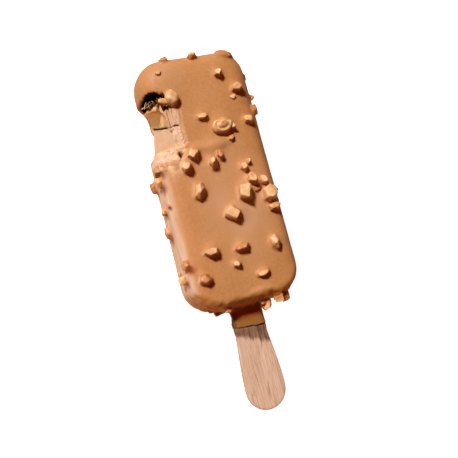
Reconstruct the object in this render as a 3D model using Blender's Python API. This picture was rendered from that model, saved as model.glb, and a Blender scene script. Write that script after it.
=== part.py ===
# Ice cream bar on a flat wooden stick, lying on its back, with a bite out of one long edge.
# The stick points along -Y, the shown face looks up, and the origin is under the middle.

import math

import bmesh
import bpy
from mathutils import Vector

# Bar body
BAR_WIDTH = 0.046
BAR_LENGTH = 0.103
BAR_THICKNESS = 0.024
BAR_CENTRE_Y = 0.0221
PLAN_CORNER = 0.0104
EDGE_AT_FAR_END = 0.0084
EDGE_AT_STICK_END = 0.0050
STICK_END_SQUARENESS = 0.62
FACE_CROWN = 0.0005
END_BULGE = 0.0026
END_BULGE_ACROSS = 0.95
END_BULGE_UP = 0.90
END_BAND = 0.0030
LEAST_CORNER = 0.0030
LEAST_EDGE = 0.0015
SPINE_SHARE = 0.8
SPINE_PULL = 1.25

# Chocolate coating and the gap that keeps it off the ice cream
COATING_WALL = 0.0018
PIECE_GAP = 0.0003

# Steps round the body: long side, short side, corner, edge, rings over the face
OUTSIDE_STEPS = (44, 8, 5, 4, 11)
HOLLOW_STEPS = (16, 3, 4, 3, 3)
CORE_STEPS = (20, 4, 4, 3, 3)
BACK_RINGS = 4
MERGE_DISTANCE = 0.00003
DEGENERATE_DISTANCE = 0.00002
SHARP_ANGLE = 35

# Flat stick
STICK_TIP_Y = -0.0736
STICK_INNER_Y = 0.0200
STICK_WIDE = 0.0170
STICK_NECK = 0.0118
STICK_FLARE = 0.0362
STICK_THICKNESS = 0.0022
STICK_MIDDLE_X = -0.0008
STICK_MIDDLE_Z = 0.0120
STICK_EDGE_ROUND = 0.0004
STICK_RIM_ANGLE = 1.2
STICK_SIDE_STEPS = 14
STICK_TIP_STEPS = 12
STICK_STEP_SPREAD = 1.6

# Collar of coating that runs down the stick
COLLAR_END_Y = -0.0400
COLLAR_SKEW = 0.0006
COLLAR_WALL = 0.0005
COLLAR_FLARE = 0.0016
COLLAR_ROOT_DEPTH = 0.0032
COLLAR_FLARE_FALL = 1.7
COLLAR_STATIONS = 7
COLLAR_CORNER_STEPS = 3
COLLAR_CORNER_SHARE = 0.8

# Bite: two tooth hollows side by side. The coating is broken away further than the ice cream.
# Each hollow is (deepest x, middle y, reach up, reach down) in millimetres, on the face and the back.
COATING_TEETH_ON_FACE = ((-10.8, 49.6, 9.0, 12.0), (-11.2, 40.0, 12.0, 11.6))
COATING_TEETH_ON_BACK = ((-18.4, 52.6, 5.6, 8.0), (-17.4, 46.4, 4.6, 10.4))
CREAM_TEETH_ON_FACE = ((-17.0, 48.0, 5.0, 8.0), (-13.9, 40.2, 4.5, 5.8))
CREAM_TEETH_ON_BACK = ((-18.4, 52.4, 5.2, 7.0), (-17.0, 46.8, 2.9, 9.2))
TOOTH_DEPTH = 11.0
TOOTH_ROUNDNESS = 2.5
BITE_STEPS = 18
BITE_OUTSIDE_X = -34.0
BITE_LEVELS = (1.35, 1.0, 0.66, 0.33, 0.0, -0.3)
POCKET_RADII = (0.0058, 0.0040, 0.0080)
POCKET_CENTRE = (-0.0166, 0.0584, 0.0135)
POCKET_SEGMENTS = 18
POCKET_RINGS = 12

# Lumps that chopped nuts push up in the face: x, y, radius, height, in millimetres
LUMP_SPREAD = 1.25
LUMPS_ABOVE = 0.4
FACE_LUMPS = (
    (9.5, 63.2, 2.6, 0.8),
    (15.6, 56.0, 3.2, 1.0),
    (-2.0, 46.2, 2.8, 0.8),
    (5.2, 41.2, 4.8, 1.3),
    (0.0, 33.8, 5.2, 0.7),
    (17.3, 41.8, 2.8, 0.8),
    (-8.0, 32.2, 3.4, 1.1),
    (-13.0, 27.7, 2.9, 1.0),
    (-3.0, 27.2, 3.2, 1.1),
    (9.8, 23.4, 2.7, 0.9),
    (11.6, 17.4, 3.4, 1.3),
    (8.4, 12.6, 3.6, 1.3),
    (17.2, 9.6, 3.8, 1.2),
    (-10.6, 17.4, 3.5, 1.2),
    (2.5, 5.5, 4.0, 1.3),
    (-12.0, -7.0, 3.2, 1.0),
    (0.0, -8.0, 3.3, 1.0),
    (-3.4, -14.0, 2.6, 0.8),
    (14.6, -9.2, 3.2, 1.1),
    (6.5, -19.6, 3.0, 0.7),
    (-17.2, -16.8, 3.0, 0.9),
)

CREAM_COLOUR = (0.84, 0.56, 0.33, 1.0)
COATING_COLOUR = (0.57, 0.25, 0.09, 1.0)
WOOD_COLOUR = (0.66, 0.40, 0.24, 1.0)
COATING_ROUGHNESS = 0.45
CREAM_ROUGHNESS = 0.7
WOOD_ROUGHNESS = 0.7


def clear_scene():
    for obj in list(bpy.data.objects):
        bpy.data.objects.remove(obj, do_unlink=True)


def make_material(name, colour, roughness):
    material = bpy.data.materials.new(name)
    material.use_nodes = True
    shader = material.node_tree.nodes["Principled BSDF"]
    shader.inputs["Base Color"].default_value = colour
    shader.inputs["Roughness"].default_value = roughness
    shader.inputs["Metallic"].default_value = 0.0
    return material


def add_object(name, mesh, material=None):
    obj = bpy.data.objects.new(name, mesh)
    bpy.context.collection.objects.link(obj)
    if material is not None:
        mesh.materials.append(material)
    return obj


def smooth_fall(distance, radius):
    if distance >= radius:
        return 0.0
    share = 1.0 - (distance / radius) ** 2
    return share * share


def plan_outline(half_width, half_length, corner, long_steps, short_steps, corner_steps):
    # Points run anticlockwise from the middle of the stick end, each with its outward normal.
    points = []
    straight_x = half_width - corner
    straight_y = half_length - corner

    def add_line(start, end, normal, steps, with_start):
        for index in range(0 if with_start else 1, steps):
            share = index / steps
            x = start[0] + (end[0] - start[0]) * share
            y = start[1] + (end[1] - start[1]) * share
            points.append((x, y, normal[0], normal[1]))

    def add_corner(centre_x, centre_y, start_angle):
        for index in range(corner_steps + 1):
            angle = math.radians(start_angle + 90.0 * index / corner_steps)
            nx = math.cos(angle)
            ny = math.sin(angle)
            points.append((centre_x + corner * nx, centre_y + corner * ny, nx, ny))

    low = -half_length
    add_line((0.0, low), (straight_x, low), (0.0, -1.0), short_steps, True)
    add_corner(straight_x, -straight_y, -90.0)
    add_line((half_width, -straight_y), (half_width, straight_y), (1.0, 0.0), long_steps, False)
    add_corner(straight_x, straight_y, 0.0)
    add_line((straight_x, half_length), (0.0, half_length), (0.0, 1.0), short_steps, False)
    add_line((0.0, half_length), (-straight_x, half_length), (0.0, 1.0), short_steps, True)
    add_corner(-straight_x, straight_y, 90.0)
    add_line((-half_width, straight_y), (-half_width, -straight_y), (-1.0, 0.0), long_steps, False)
    add_corner(-straight_x, -straight_y, 180.0)
    add_line((-straight_x, low), (0.0, low), (0.0, -1.0), short_steps, False)
    return points


def bar_solid(name, inset, steps, lumps):
    # A rounded plate made of rings: back face, back edge, side wall, front edge, front face.
    long_steps, short_steps, corner_steps, edge_steps, face_rings = steps
    half_width = BAR_WIDTH / 2 - inset
    half_length = BAR_LENGTH / 2 - inset
    half_height = BAR_THICKNESS / 2 - inset
    corner = max(PLAN_CORNER - inset, LEAST_CORNER)
    outline = plan_outline(half_width, half_length, corner, long_steps, short_steps, corner_steps)
    spine = half_length - half_width * SPINE_SHARE

    def ring_point(k, angle, side):
        x, y, nx, ny = outline[k]
        along = (y + half_length) / (2 * half_length)
        edge = EDGE_AT_STICK_END + (EDGE_AT_FAR_END - EDGE_AT_STICK_END) * along
        edge = max(edge - inset, LEAST_EDGE)
        shrink = edge * (1.0 - math.cos(angle))
        shrink *= 1.0 - STICK_END_SQUARENESS * max(0.0, -ny)
        z = side * (half_height - edge + edge * math.sin(angle))
        return Vector((x - nx * shrink, y - ny * shrink, z))

    def spine_point(k):
        y = outline[k][1]
        return Vector((0.0, max(-spine, min(spine, y * SPINE_PULL)), 0.0))

    bm = bmesh.new()
    rings = []
    quarter = math.pi / 2
    for index in range(BACK_RINGS - 1, 0, -1):
        share = index / BACK_RINGS
        ring = []
        for k in range(len(outline)):
            rim = ring_point(k, quarter, -1)
            middle = spine_point(k)
            middle.z = rim.z
            ring.append(rim.lerp(middle, share))
        rings.append(ring)
    for index in range(edge_steps, -1, -1):
        angle = quarter * index / edge_steps
        rings.append([ring_point(k, angle, -1) for k in range(len(outline))])
    rings.append([ring_point(k, 0.0, -1).lerp(ring_point(k, 0.0, 1), 0.5) for k in range(len(outline))])
    for index in range(edge_steps + 1):
        angle = quarter * index / edge_steps
        rings.append([ring_point(k, angle, 1) for k in range(len(outline))])
    for index in range(1, face_rings):
        share = index / face_rings
        ring = []
        for k in range(len(outline)):
            rim = ring_point(k, quarter, 1)
            middle = spine_point(k)
            middle.z = rim.z
            point = rim.lerp(middle, share)
            point.z += FACE_CROWN * (1.0 - (1.0 - share) ** 2)
            ring.append(point)
        rings.append(ring)

    def close_spine(level, crown):
        ends = {}
        spine_verts = []
        for k in range(len(outline)):
            place = spine_point(k)
            key = round(place.y, 7)
            if key not in ends:
                ends[key] = bm.verts.new((0.0, place.y, level + crown))
            spine_verts.append(ends[key])
        return spine_verts

    vert_rings = [close_spine(-half_height, 0.0)]
    for ring in rings:
        vert_rings.append([bm.verts.new(point) for point in ring])
    vert_rings.append(close_spine(half_height, FACE_CROWN))
    for low_ring, high_ring in zip(vert_rings, vert_rings[1:]):
        for k in range(len(outline)):
            following = (k + 1) % len(outline)
            loop = []
            for vert in (low_ring[k], low_ring[following], high_ring[following], high_ring[k]):
                if vert not in loop:
                    loop.append(vert)
            if len(loop) > 2:
                bm.faces.new(loop)

    for vert in bm.verts:
        if vert.co.y < -half_length + END_BAND:
            across = smooth_fall(abs(vert.co.x), half_width * END_BULGE_ACROSS)
            up = smooth_fall(abs(vert.co.z), half_height * END_BULGE_UP)
            vert.co.y -= END_BULGE * across * up
        if lumps and vert.co.z > half_height * LUMPS_ABOVE:
            lift = 0.0
            for x, y, radius, height in lumps:
                away = math.hypot(vert.co.x - x / 1000, vert.co.y + BAR_CENTRE_Y - y / 1000)
                lift = max(lift, height / 1000 * smooth_fall(away, radius * LUMP_SPREAD / 1000))
            vert.co.z += lift
    bmesh.ops.translate(bm, verts=bm.verts, vec=(0.0, BAR_CENTRE_Y, BAR_THICKNESS / 2))
    bmesh.ops.recalc_face_normals(bm, faces=bm.faces)
    mesh = bpy.data.meshes.new(name)
    bm.to_mesh(mesh)
    bm.free()
    return mesh


def stick_half_width(y):
    # Narrow straight neck inside the bar, a smooth flare outside it.
    neck_y = STICK_TIP_Y + STICK_WIDE / 2 + STICK_FLARE
    share = (neck_y - y) / STICK_FLARE
    share = max(0.0, min(1.0, share))
    blend = share * share * (3 - 2 * share)
    return (STICK_NECK + (STICK_WIDE - STICK_NECK) * blend) / 2


def stick_outline(grow):
    steps = STICK_SIDE_STEPS
    tip_steps = STICK_TIP_STEPS
    points = []
    tip_centre = STICK_TIP_Y + STICK_WIDE / 2
    inner_centre = STICK_INNER_Y - STICK_NECK / 2
    for index in range(tip_steps + 1):
        angle = math.pi + math.pi * index / tip_steps
        radius = STICK_WIDE / 2 + grow
        points.append((radius * math.cos(angle), tip_centre + radius * math.sin(angle)))
    for index in range(1, steps + 1):
        y = tip_centre + (inner_centre - tip_centre) * (index / steps) ** STICK_STEP_SPREAD
        points.append((stick_half_width(y) + grow, y))
    for index in range(1, tip_steps):
        angle = math.pi * index / tip_steps
        radius = STICK_NECK / 2 + grow
        points.append((radius * math.cos(angle), inner_centre + radius * math.sin(angle)))
    for index in range(steps, 0, -1):
        y = tip_centre + (inner_centre - tip_centre) * (index / steps) ** STICK_STEP_SPREAD
        points.append((-stick_half_width(y) - grow, y))
    return [(x + STICK_MIDDLE_X, y) for x, y in points]


def stick_mesh(name, grow, rounded):
    bm = bmesh.new()
    half = STICK_THICKNESS / 2 + grow
    loop = [bm.verts.new((x, y, STICK_MIDDLE_Z - half)) for x, y in stick_outline(grow)]
    face = bm.faces.new(loop)
    grown = bmesh.ops.extrude_face_region(bm, geom=[face])
    moved = [item for item in grown["geom"] if isinstance(item, bmesh.types.BMVert)]
    bmesh.ops.translate(bm, verts=moved, vec=(0.0, 0.0, 2 * half))
    bmesh.ops.recalc_face_normals(bm, faces=bm.faces)
    if rounded:
        rims = [edge for edge in bm.edges if edge.calc_face_angle(0.0) > STICK_RIM_ANGLE]
        bmesh.ops.bevel(
            bm,
            geom=rims,
            offset=STICK_EDGE_ROUND,
            offset_type="OFFSET",
            segments=2,
            profile=0.5,
            affect="EDGES",
            clamp_overlap=True,
            material=-1,
        )
    mesh = bpy.data.meshes.new(name)
    bm.to_mesh(mesh)
    bm.free()
    return mesh


def collar_mesh(name):
    # A sleeve that hugs the stick and flares out where it meets the bar.
    bm = bmesh.new()
    root_y = BAR_CENTRE_Y - BAR_LENGTH / 2 + COLLAR_ROOT_DEPTH
    rings = []
    for index in range(COLLAR_STATIONS + 1):
        share = index / COLLAR_STATIONS
        y = root_y + (COLLAR_END_Y - root_y) * share
        grow = PIECE_GAP + COLLAR_WALL + COLLAR_FLARE * max(0.0, 1.0 - share * COLLAR_FLARE_FALL) ** 2
        wide = stick_half_width(y) + grow
        tall = STICK_THICKNESS / 2 + grow
        corner = min(tall * COLLAR_CORNER_SHARE, grow)
        ring = []
        for sx, sz, start in ((1, -1, -90), (1, 1, 0), (-1, 1, 90), (-1, -1, 180)):
            for step in range(COLLAR_CORNER_STEPS + 1):
                angle = math.radians(start + 90 * step / COLLAR_CORNER_STEPS)
                x = sx * (wide - corner) + corner * math.cos(angle)
                z = sz * (tall - corner) + corner * math.sin(angle)
                skew = COLLAR_SKEW * share * (-x / wide)
                ring.append(bm.verts.new((x + STICK_MIDDLE_X, y + skew, z + STICK_MIDDLE_Z)))
        rings.append(ring)
    for near, far in zip(rings, rings[1:]):
        for k in range(len(near)):
            following = (k + 1) % len(near)
            bm.faces.new((near[k], near[following], far[following], far[k]))
    bm.faces.new(rings[0])
    bm.faces.new(list(reversed(rings[-1])))
    bmesh.ops.recalc_face_normals(bm, faces=bm.faces)
    mesh = bpy.data.meshes.new(name)
    bm.to_mesh(mesh)
    bm.free()
    return mesh


def tooth_edge(tooth, y):
    # How far in one hollow's edge lies at y: deepest in its middle, curving out to both sides.
    deepest, middle, reach_up, reach_down = tooth
    reach = reach_up if y > middle else reach_down
    away = min(1.0, abs(y - middle) / reach)
    curve = (1.0 - away**TOOTH_ROUNDNESS) ** (1.0 / TOOTH_ROUNDNESS)
    return deepest - TOOTH_DEPTH * (1.0 - curve)


def bite_outline(teeth):
    top = max(middle + reach_up for _, middle, reach_up, _ in teeth)
    bottom = min(middle - reach_down for _, middle, _, reach_down in teeth)
    points = [(BITE_OUTSIDE_X, top)]
    for index in range(BITE_STEPS + 1):
        share = (1.0 - math.cos(math.pi * index / BITE_STEPS)) / 2
        y = top + (bottom - top) * (0.5 * share + 0.5 * index / BITE_STEPS)
        points.append((max(tooth_edge(tooth, y) for tooth in teeth), y))
    points.append((BITE_OUTSIDE_X, bottom))
    return points


def bite_mesh(name, face_teeth, back_teeth, face_z):
    # A loft between the outlines on the two faces, carried on past both of them.
    bm = bmesh.new()
    face_outline = bite_outline(face_teeth)
    back_outline = bite_outline(back_teeth)
    rings = []
    for share in BITE_LEVELS:
        ring = []
        for face_point, back_point in zip(face_outline, back_outline):
            x = face_point[0] + (back_point[0] - face_point[0]) * share
            y = face_point[1] + (back_point[1] - face_point[1]) * share
            ring.append(bm.verts.new((x / 1000, y / 1000, face_z * (1.0 - share))))
        rings.append(ring)
    for low, high in zip(rings, rings[1:]):
        for k in range(len(low)):
            following = (k + 1) % len(low)
            bm.faces.new((low[k], low[following], high[following], high[k]))
    bm.faces.new(list(reversed(rings[0])))
    bm.faces.new(rings[-1])
    bmesh.ops.recalc_face_normals(bm, faces=bm.faces)
    mesh = bpy.data.meshes.new(name)
    bm.to_mesh(mesh)
    bm.free()
    return mesh


def pocket_mesh(name):
    # The hollow left behind the coating's lip at the upper end of the bite.
    bm = bmesh.new()
    bmesh.ops.create_uvsphere(bm, u_segments=POCKET_SEGMENTS, v_segments=POCKET_RINGS, radius=1.0)
    bmesh.ops.scale(bm, verts=bm.verts, vec=POCKET_RADII)
    bmesh.ops.translate(bm, verts=bm.verts, vec=POCKET_CENTRE)
    mesh = bpy.data.meshes.new(name)
    bm.to_mesh(mesh)
    bm.free()
    return mesh


def apply_boolean(target, tool, operation):
    modifier = target.modifiers.new("shape", "BOOLEAN")
    modifier.operation = operation
    modifier.solver = "EXACT"
    modifier.object = tool
    bpy.context.view_layer.update()
    graph = bpy.context.evaluated_depsgraph_get()
    mesh = bpy.data.meshes.new_from_object(target.evaluated_get(graph))
    target.modifiers.clear()
    target.data = mesh
    bpy.data.objects.remove(tool, do_unlink=True)


def tidy_mesh(obj):
    bm = bmesh.new()
    bm.from_mesh(obj.data)
    bmesh.ops.remove_doubles(bm, verts=bm.verts, dist=MERGE_DISTANCE)
    bmesh.ops.dissolve_degenerate(bm, dist=DEGENERATE_DISTANCE, edges=bm.edges)
    bmesh.ops.triangulate(bm, faces=bm.faces)
    bm.to_mesh(obj.data)
    bm.free()
    obj.data.shade_smooth()
    obj.data.set_sharp_from_angle(angle=math.radians(SHARP_ANGLE))


def main():
    clear_scene()
    coating_paint = make_material("coating", COATING_COLOUR, COATING_ROUGHNESS)
    cream_paint = make_material("ice_cream", CREAM_COLOUR, CREAM_ROUGHNESS)
    wood_paint = make_material("stick_wood", WOOD_COLOUR, WOOD_ROUGHNESS)

    outside = bar_solid("coating", 0.0, OUTSIDE_STEPS, FACE_LUMPS)
    coating = add_object("coating", outside, coating_paint)
    apply_boolean(coating, add_object("sleeve", collar_mesh("sleeve")), "UNION")
    hollow = bar_solid("hollow", COATING_WALL, HOLLOW_STEPS, ())
    apply_boolean(coating, add_object("hollow", hollow), "DIFFERENCE")
    slot = add_object("slot", stick_mesh("slot", PIECE_GAP, False))
    apply_boolean(coating, slot, "DIFFERENCE")
    bite = bite_mesh("bite", COATING_TEETH_ON_FACE, COATING_TEETH_ON_BACK, BAR_THICKNESS)
    apply_boolean(coating, add_object("bite", bite), "DIFFERENCE")
    tidy_mesh(coating)

    wall = COATING_WALL + PIECE_GAP
    core = bar_solid("ice_cream", wall, CORE_STEPS, ())
    cream = add_object("ice_cream", core, cream_paint)
    slot = add_object("slot", stick_mesh("slot", PIECE_GAP, False))
    apply_boolean(cream, slot, "DIFFERENCE")
    bite = bite_mesh("bite", CREAM_TEETH_ON_FACE, CREAM_TEETH_ON_BACK, BAR_THICKNESS - wall)
    apply_boolean(cream, add_object("bite", bite), "DIFFERENCE")
    apply_boolean(cream, add_object("pocket", pocket_mesh("pocket")), "DIFFERENCE")
    tidy_mesh(cream)

    stick = add_object("stick", stick_mesh("stick", 0.0, True), wood_paint)
    tidy_mesh(stick)


main()
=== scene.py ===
import math
import random
from types import SimpleNamespace

import bmesh
import bpy
from mathutils import Matrix, Vector, noise
from mathutils.bvhtree import BVHTree
from mathutils.kdtree import KDTree


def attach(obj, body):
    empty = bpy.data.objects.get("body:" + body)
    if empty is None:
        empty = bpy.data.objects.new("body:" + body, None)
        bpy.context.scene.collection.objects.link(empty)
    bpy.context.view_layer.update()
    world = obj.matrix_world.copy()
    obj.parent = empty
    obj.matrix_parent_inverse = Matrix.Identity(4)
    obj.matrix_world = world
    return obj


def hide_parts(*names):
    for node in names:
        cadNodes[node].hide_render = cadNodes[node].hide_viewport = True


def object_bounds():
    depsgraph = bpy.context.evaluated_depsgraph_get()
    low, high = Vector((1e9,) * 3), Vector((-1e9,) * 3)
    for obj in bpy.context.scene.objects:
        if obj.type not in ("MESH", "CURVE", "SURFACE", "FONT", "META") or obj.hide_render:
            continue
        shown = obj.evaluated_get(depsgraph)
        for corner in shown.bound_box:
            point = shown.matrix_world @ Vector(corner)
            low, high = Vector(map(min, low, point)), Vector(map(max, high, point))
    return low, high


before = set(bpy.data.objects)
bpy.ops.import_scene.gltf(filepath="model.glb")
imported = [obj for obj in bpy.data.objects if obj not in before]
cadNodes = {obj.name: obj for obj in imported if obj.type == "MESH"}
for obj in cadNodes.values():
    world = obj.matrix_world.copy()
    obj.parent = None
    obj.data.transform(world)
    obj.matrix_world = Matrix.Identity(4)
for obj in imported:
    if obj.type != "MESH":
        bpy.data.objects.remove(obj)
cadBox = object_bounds()
print("frame loaded:", sorted(cadNodes))

mm = 0.001
barTopZ = 24.0  # level of the shown face, in mm
barTopY = cadBox[1][1] / mm
barBottomY = -29.4  # where the bar ends and the collar on the stick begins
sunFrom = Vector((-0.44, 0.54, 0.715))


def clamp(value, low=0.0, high=1.0):
    return max(low, min(high, value))


def ease(value, start, end):
    share = clamp((value - start) / (end - start))
    return share * share * (3 - 2 * share)


def between(value, start, full, last, end):
    # 0 before the start and past the end, 1 from full to last
    return ease(value, start, full) * (1 - ease(value, last, end))


def blend(first, second, share):
    return first + (second - first) * share


def bell(distance, width):
    return math.exp(-(distance / width) ** 2)


def wobble(x, y, z):
    return noise.noise(Vector((x, y, z)))


def mergedCopy(nodeName):
    bm = bmesh.new()
    bm.from_mesh(cadNodes[nodeName].data)
    bmesh.ops.remove_doubles(bm, verts=bm.verts, dist=1e-6)
    return bm


def newPiece(name, bm, material, nodes=()):
    mesh = bpy.data.meshes.new(name)
    bm.to_mesh(mesh)
    bm.free()
    mesh.materials.append(material)
    mesh.shade_smooth()
    piece = bpy.data.objects.new(name, mesh)
    bpy.context.scene.collection.objects.link(piece)
    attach(piece, "root")
    if nodes:
        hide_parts(*nodes)


def addMesh(bm, other):
    # joins a second bmesh into the first one
    mesh = bpy.data.meshes.new("part")
    other.to_mesh(mesh)
    other.free()
    bm.from_mesh(mesh)
    bpy.data.meshes.remove(mesh)


def throughModifier(bm, kind, groupTest=None, **settings):
    # puts a bmesh through one modifier and hands back the result
    mesh = bpy.data.meshes.new("source")
    bm.to_mesh(mesh)
    bm.free()
    holder = bpy.data.objects.new("holder", mesh)
    bpy.context.scene.collection.objects.link(holder)
    if groupTest:
        group = holder.vertex_groups.new(name="chosen")
        group.add([v.index for v in mesh.vertices if groupTest(v.co / mm)], 1.0, "REPLACE")
    modifier = holder.modifiers.new("change", kind)
    for name, value in settings.items():
        setattr(modifier, name, value)
    bpy.context.view_layer.update()
    changed = holder.evaluated_get(bpy.context.evaluated_depsgraph_get())
    result = bmesh.new()
    result.from_mesh(changed.to_mesh())
    changed.to_mesh_clear()
    bpy.data.objects.remove(holder, do_unlink=True)
    bpy.data.meshes.remove(mesh)
    return result


def remeshed(bm, voxel):
    return throughModifier(bm, "REMESH", mode="VOXEL", voxel_size=voxel * mm, adaptivity=0.0)


def thinned(bm, isHidden, ratio):
    # collapses what nobody can see and leaves the rest as it is
    return throughModifier(
        bm, "DECIMATE", isHidden, ratio=ratio, vertex_group="chosen", vertex_group_factor=1000)


def smoothed(bm, times):
    for _ in range(times):
        bmesh.ops.smooth_vert(
            bm, verts=bm.verts, factor=0.5, use_axis_x=True, use_axis_y=True, use_axis_z=True)


def floatLayers(bm, *names):
    return {name: bm.verts.layers.float.new(name) for name in names}


def setWeights(vert, layers, weights):
    for name, weight in weights.items():
        vert[layers[name]] = clamp(weight)


def countTriangles(bm):
    return sum(len(face.verts) - 2 for face in bm.faces)


def startMaterial(name, finish):
    # a new material whose plain settings are set on the shader's own sockets
    material = bpy.data.materials.new(name)
    material.use_nodes = True
    tree = material.node_tree
    graph = SimpleNamespace(material=material, nodes=tree.nodes, links=tree.links)
    graph.shader = graph.nodes["Principled BSDF"]
    graph.place = graph.nodes.new("ShaderNodeTexCoord").outputs["Object"]
    for socket, value in finish.items():
        graph.shader.inputs[socket].default_value = value
    return graph


def noiseNode(graph, coordinates, scale, detail=4.0, roughness=0.5, distortion=0.0):
    node = graph.nodes.new("ShaderNodeTexNoise")
    node.inputs["Scale"].default_value = scale
    node.inputs["Detail"].default_value = detail
    node.inputs["Roughness"].default_value = roughness
    node.inputs["Distortion"].default_value = distortion
    graph.links.new(coordinates, node.inputs["Vector"])
    return node.outputs["Fac"]


def stretched(graph, coordinates, scale, turn=0.0):
    node = graph.nodes.new("ShaderNodeMapping")
    node.inputs["Scale"].default_value = scale
    node.inputs["Rotation"].default_value = (0.0, 0.0, turn)
    graph.links.new(coordinates, node.inputs["Vector"])
    return node.outputs["Vector"]


def rampNode(graph, source, stops):
    node = graph.nodes.new("ShaderNodeValToRGB")
    while len(node.color_ramp.elements) < len(stops):
        node.color_ramp.elements.new(0.5)
    for element, (place, colour) in zip(node.color_ramp.elements, stops):
        element.position = place
        element.color = (*colour, 1.0)
    graph.links.new(source, node.inputs["Fac"])
    return node.outputs["Color"]


def mixNode(graph, share, first, second, blendType="MIX"):
    node = graph.nodes.new("ShaderNodeMix")
    node.data_type = "RGBA"
    node.blend_type = blendType
    for name, value in (("Factor", share), ("A", first), ("B", second)):
        socket = [entry for entry in node.inputs if entry.name == name and entry.enabled][0]
        if isinstance(value, bpy.types.NodeSocket):
            graph.links.new(value, socket)
        elif isinstance(value, (int, float)):
            socket.default_value = value
        else:
            socket.default_value = (*value, 1.0)
    return [entry for entry in node.outputs if entry.enabled][0]


def attributeNode(graph, name):
    node = graph.nodes.new("ShaderNodeAttribute")
    node.attribute_name = name
    return node.outputs["Fac"]


def finished(graph, base, height, strength, distance):
    # the colour and the bumps go to the shader
    graph.links.new(base, graph.shader.inputs["Base Color"])
    bump = graph.nodes.new("ShaderNodeBump")
    bump.inputs["Strength"].default_value = strength
    bump.inputs["Distance"].default_value = distance
    graph.links.new(height, bump.inputs["Height"])
    graph.links.new(bump.outputs["Normal"], graph.shader.inputs["Normal"])
    return graph.material


def paintLayers(graph, base, look, names):
    # lays the named colours over the base, each as strongly as its attribute says
    for name in names:
        base = mixNode(graph, attributeNode(graph, name), base, look[name])
    return base


coatingLook = {
    "dark": (0.468, 0.205, 0.064),
    "middle": (0.517, 0.235, 0.080),
    "light": (0.560, 0.267, 0.104),
    "film": (0.770, 0.490, 0.305),    # ice cream smeared thinly over the chocolate
    "bloomAndHighlight": (0.600, 0.330, 0.170),   # paler patches on the face: partly bloom, partly painted highlight
    "frostAndSheen": (0.790, 0.560, 0.410),   # the bitten side's wall: partly frost, partly painted sheen
    # the collar's own brown, and painted shade at the stick end and round the torn lip
    "brownAndShade": (0.390, 0.165, 0.034),
    "deep": (0.500, 0.100, 0.014),    # painted shade: round the nuts, under the left wall's nuts, in the stick end's dips, on the collar's top and the lip's torn side; also a faint band on the left shoulder
    # painted black shade: under the lip, in the broken corner, on the collar's left edge and top, and under
    # the left wall's nuts
    "hollow": (0.045, 0.005, 0.001),
    "speck": ((0.93, 0.92, 0.90), (1.04, 1.04, 1.04)),
    "blotchScale": 60.0,
    "grainScale": 900.0,
    "rippleScale": 320.0,
    "bump": (0.22, 0.0001),           # strength and depth, as in the other looks
}

coatingFinish = {
    "Roughness": 0.54,
    "Specular IOR Level": 0.26,
    "Sheen Weight": 0.02,
    "Sheen Roughness": 0.35,
    "Sheen Tint": (1.0, 0.93, 0.86, 1.0),
    "Subsurface Weight": 0.06,
    "Subsurface Radius": (1.0, 0.30, 0.10),
    "Subsurface Scale": 0.0012,
}


def makeCoatingMaterial():
    graph = startMaterial("coating", coatingFinish)
    blotch = noiseNode(graph, graph.place, coatingLook["blotchScale"], 5.0, 0.55, 0.4)
    base = rampNode(graph, blotch, (
        (0.30, coatingLook["dark"]), (0.50, coatingLook["middle"]), (0.72, coatingLook["light"])))
    grain = noiseNode(graph, graph.place, coatingLook["grainScale"], 3.0)
    darkSpeck, lightSpeck = coatingLook["speck"]
    speck = rampNode(graph, grain, ((0.35, darkSpeck), (0.65, lightSpeck)))
    base = mixNode(graph, 1.0, base, speck, "MULTIPLY")
    base = paintLayers(graph, base, coatingLook, ("bloomAndHighlight", "frostAndSheen", "brownAndShade", "deep", "film", "hollow"))
    ripple = noiseNode(graph, graph.place, coatingLook["rippleScale"], 4.0)
    return finished(graph, base, ripple, *coatingLook["bump"])


creamLook = {
    "deep": (0.590, 0.350, 0.200),
    "middle": (0.650, 0.405, 0.250),
    "light": (0.700, 0.460, 0.310),
    "frost": (0.790, 0.570, 0.410),
    "ochre": (0.960, 0.620, 0.280),   # the upper tooth mark
    "strand": (0.330, 0.140, 0.055),  # dark lines that the teeth combed into the shelf
    "chocolateAndShade": (0.540, 0.235, 0.082),    # chocolate rubbed over the ice cream; also painted shade on the sunlit part of the upper mark and round the hole
    # painted black shade in the pocket, the cracks and the hole
    "hollow": (0.075, 0.010, 0.002),
    "cloudScale": 150.0,
    "strandScale": 1900.0,
    "strandStretch": (1.0, 0.07, 1.0),
    "poreScale": 700.0,
    "bump": (0.35, 0.00015),
}

creamFinish = {
    "Roughness": 0.72,
    "Specular IOR Level": 0.10,
    "Subsurface Weight": 0.35,
    "Subsurface Radius": (1.0, 0.6, 0.35),
    "Subsurface Scale": 0.0020,
}


def makeCreamMaterial():
    graph = startMaterial("ice_cream", creamFinish)
    cloud = noiseNode(graph, graph.place, creamLook["cloudScale"], 6.0, 0.6, 0.6)
    base = rampNode(graph, cloud, (
        (0.30, creamLook["deep"]), (0.48, creamLook["middle"]), (0.68, creamLook["light"])))
    combed = stretched(graph, graph.place, creamLook["strandStretch"])
    strand = noiseNode(graph, combed, creamLook["strandScale"], 3.0, 0.55, 0.2)
    strandMask = rampNode(graph, strand, ((0.36, (1.0, 1.0, 1.0)), (0.47, (0.0, 0.0, 0.0))))
    strandMask = mixNode(graph, 1.0, strandMask, attributeNode(graph, "combed"), "MULTIPLY")
    base = paintLayers(graph, base, creamLook, ("frost",))
    base = mixNode(graph, strandMask, base, creamLook["strand"])
    base = paintLayers(graph, base, creamLook, ("ochre", "chocolateAndShade", "hollow"))
    pores = noiseNode(graph, graph.place, creamLook["poreScale"], 5.0, 0.6)
    return finished(graph, base, pores, *creamLook["bump"])


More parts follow.
